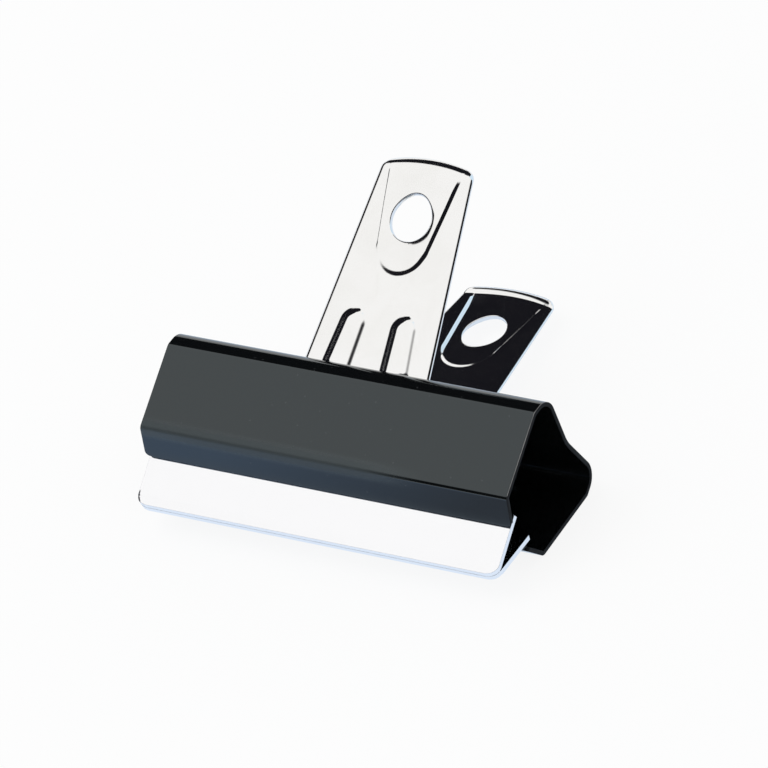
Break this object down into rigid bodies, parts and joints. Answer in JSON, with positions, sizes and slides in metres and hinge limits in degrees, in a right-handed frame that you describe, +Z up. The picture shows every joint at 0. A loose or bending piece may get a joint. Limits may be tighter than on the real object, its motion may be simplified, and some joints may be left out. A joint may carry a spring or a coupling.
{
  "type": "bulldog clip",
  "caption": "Bulldog clip: a folded black spring body pinches plated levers together at their jaws; squeezing the holed finger plates opens the jaws to grip paper.",
  "frame": {"origin": "on the table, under the middle of the clip lying on its rear side", "axes": "+X along the clip's length, +Y from the jaws towards the finger ends along the table, +Z up from the table"},
  "size_m": [0.057, 0.0528, 0.0319],
  "materials": {
    "black_lacquer": "gloss black lacquer on spring steel",
    "nickel_plate": "bright nickel plate on stamped steel"
  },
  "bodies": {
    "rear_lever": {"rear_lever": "nickel_plate"},
    "spring_body": {"spring_body": "black_lacquer"},
    "front_lever": {"front_lever": "nickel_plate"}
  },
  "joints": [
    {"name": "rear_lever_pivot", "type": "hinge", "parent": "rear_lever", "child": "spring_body", "pos_m": [0, -0.00311, 0.00348], "axis": [-1, 0, 0], "range_deg": [0, 25], "stiffness_Nm_per_rad": 1.5, "springref_deg": -1.15, "deforming": ["spring_body"]},
    {"name": "front_lever_pivot", "type": "hinge", "parent": "spring_body", "child": "front_lever", "pos_m": [0, -0.00652, 0.01656], "axis": [-1, 0, 0], "range_deg": [0, 25], "stiffness_Nm_per_rad": 1.5, "springref_deg": -1.15, "deforming": ["spring_body"]}
  ],
  "couplings": [
    {"joint": "front_lever_pivot", "follows": "rear_lever_pivot", "ratio": 1}
  ]
}
